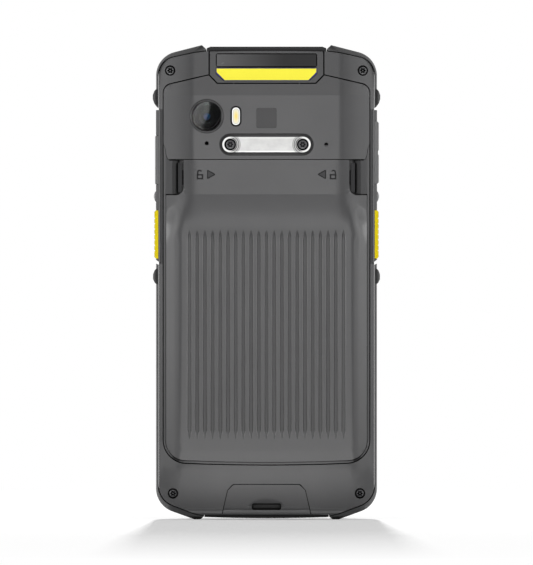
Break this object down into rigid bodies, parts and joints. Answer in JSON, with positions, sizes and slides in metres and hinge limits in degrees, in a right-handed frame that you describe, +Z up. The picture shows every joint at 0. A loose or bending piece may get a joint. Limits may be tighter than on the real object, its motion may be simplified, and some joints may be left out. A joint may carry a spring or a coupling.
{
  "type": "portable barcode data terminal",
  "caption": "Handheld barcode data terminal with a ribbed removable battery pack, squeeze latches, camera, hand-strap bar, yellow scan keys and wrap-round guards.",
  "frame": {"origin": "middle of the bottom of the overall box: halfway across the width and the thickness, at the level of the two lower corner guards it stands on", "axes": "+Z runs up the length to the scanner end; -Y is the back, with the camera and the battery pack; +Y is the screen; +X is to the right when the back is looked at"},
  "size_m": [0.0774, 0.0154, 0.1615],
  "materials": {
    "bay_plastic": "fine satin texture",
    "bezel_plastic": "fine satin texture",
    "board_green": "solder mask",
    "camera_black": "blackened lens barrel",
    "camera_glass": "coated, clear",
    "cell_foil": "laminated foil pouch",
    "chassis_metal": "die cast, raw",
    "connector_black": "moulded, matt",
    "contact_gold": "gold plated",
    "cover_plastic": "fine satin texture",
    "dark_steel": "black oxide",
    "display_black": "switched-off screen",
    "engine_black": "anodised block",
    "flash_clear": "ribbed clear diffuser",
    "flash_phosphor": "yellow phosphor under the diffuser",
    "flash_white": "moulded, satin",
    "flex_amber": "polyimide film",
    "frame_plastic": "fine satin texture",
    "guard_rubber": "matt rubbery overmould",
    "housing_plastic": "fine satin texture",
    "insert_plastic": "fine satin texture",
    "key_plastic": "smooth, satin",
    "label_black": "plain printed label, no lettering",
    "label_yellow": "plain printed label, no lettering",
    "latch_plastic": "moulded, satin",
    "mesh_black": "woven, black",
    "pack_inner_plastic": "moulded, matt",
    "pack_plastic": "fine satin texture",
    "port_steel": "nickel plated",
    "rail_plastic": "smoother than the housing",
    "ring_black": "smooth, glossy",
    "scan_glass": "dark tinted window",
    "scan_yellow": "smooth, satin",
    "screen_glass": "strengthened, coated, with a black border",
    "seal_rubber": "soft, matt",
    "shield_tin": "tin plated",
    "speaker_black": "moulded, matt",
    "spring_steel": "bright wire",
    "strap_steel": "bright, bead-blasted, with a polished rim",
    "switch_steel": "stamped cover",
    "trim_plastic": "moulded, matt"
  },
  "bodies": {
    "terminal": {"rear_housing": "housing_plastic", "front_frame": "frame_plastic", "battery_bay": "bay_plastic", "camera_cover": "cover_plastic", "strap_plate": "strap_steel", "strap_plate_screws": "dark_steel", "housing_screws": "dark_steel", "strap_insert": "insert_plastic", "scan_bezel": "bezel_plastic", "label_panel": "label_black", "caution_strip": "label_yellow", "top_trim": "trim_plastic", "bottom_trim": "trim_plastic", "upper_guard_left": "guard_rubber", "upper_guard_right": "guard_rubber", "lower_guard_left": "guard_rubber", "lower_guard_right": "guard_rubber", "side_rail_left": "rail_plastic", "side_rail_right": "rail_plastic", "camera_ring": "ring_black", "camera_window": "camera_glass", "camera_module": "camera_black", "flash_bezel": "flash_white", "flash_lens": "flash_clear", "flash_led": "flash_phosphor", "touch_glass": "screen_glass", "display_module": "display_black", "chassis": "chassis_metal", "main_board": "board_green", "board_shields": "shield_tin", "scan_engine": "engine_black", "scan_window": "scan_glass", "usb_receptacle": "port_steel", "loudspeaker": "speaker_black", "vibration_motor": "port_steel", "bay_connector": "connector_black", "card_socket": "port_steel", "key_flex_left": "flex_amber", "key_flex_right": "flex_amber", "side_switches": "switch_steel", "earpiece_mesh": "mesh_black", "front_camera": "camera_black"},
    "battery": {"battery_shell": "pack_plastic", "battery_core": "pack_inner_plastic", "battery_cell": "cell_foil", "battery_contacts": "contact_gold", "battery_seal": "seal_rubber", "latch_spring_left": "spring_steel", "latch_spring_right": "spring_steel"},
    "latch_left": {"battery_latch_left": "latch_plastic"},
    "latch_right": {"battery_latch_right": "latch_plastic"},
    "left_key": {"left_key": "key_plastic"},
    "volume_rocker": {"volume_rocker": "key_plastic"},
    "scan_key_left": {"scan_key_left": "scan_yellow"},
    "scan_key_right": {"scan_key_right": "scan_yellow"}
  },
  "joints": [
    {"name": "battery_tilt", "type": "hinge", "parent": "terminal", "child": "battery", "pos_m": [0, -0.0075, 0.0197], "axis": [1, 0, 0], "range_deg": [0, 40]},
    {"name": "latch_left_squeeze", "type": "slide", "parent": "battery", "child": "latch_left", "axis": [1, 0, 0], "range_m": [0, 0.0012], "stiffness_N_per_m": 1500, "springref_m": -0.001, "deforming": ["latch_spring_left"]},
    {"name": "latch_right_squeeze", "type": "slide", "parent": "battery", "child": "latch_right", "axis": [-1, 0, 0], "range_m": [0, 0.0012], "stiffness_N_per_m": 1500, "springref_m": -0.001, "deforming": ["latch_spring_right"]},
    {"name": "left_key_press", "type": "slide", "parent": "terminal", "child": "left_key", "axis": [1, 0, 0], "range_m": [0, 0.00035], "stiffness_N_per_m": 3500, "springref_m": -0.0002},
    {"name": "scan_key_left_press", "type": "slide", "parent": "terminal", "child": "scan_key_left", "axis": [1, 0, 0], "range_m": [0, 0.00035], "stiffness_N_per_m": 3500, "springref_m": -0.0002},
    {"name": "scan_key_right_press", "type": "slide", "parent": "terminal", "child": "scan_key_right", "axis": [-1, 0, 0], "range_m": [0, 0.00035], "stiffness_N_per_m": 3500, "springref_m": -0.0002},
    {"name": "volume_rock", "type": "hinge", "parent": "terminal", "child": "volume_rocker", "pos_m": [0.0369, -0.0005, 0.12485], "axis": [0, 1, 0], "range_deg": [-1.2, 1.2], "stiffness_Nm_per_rad": 0.65}
  ]
}
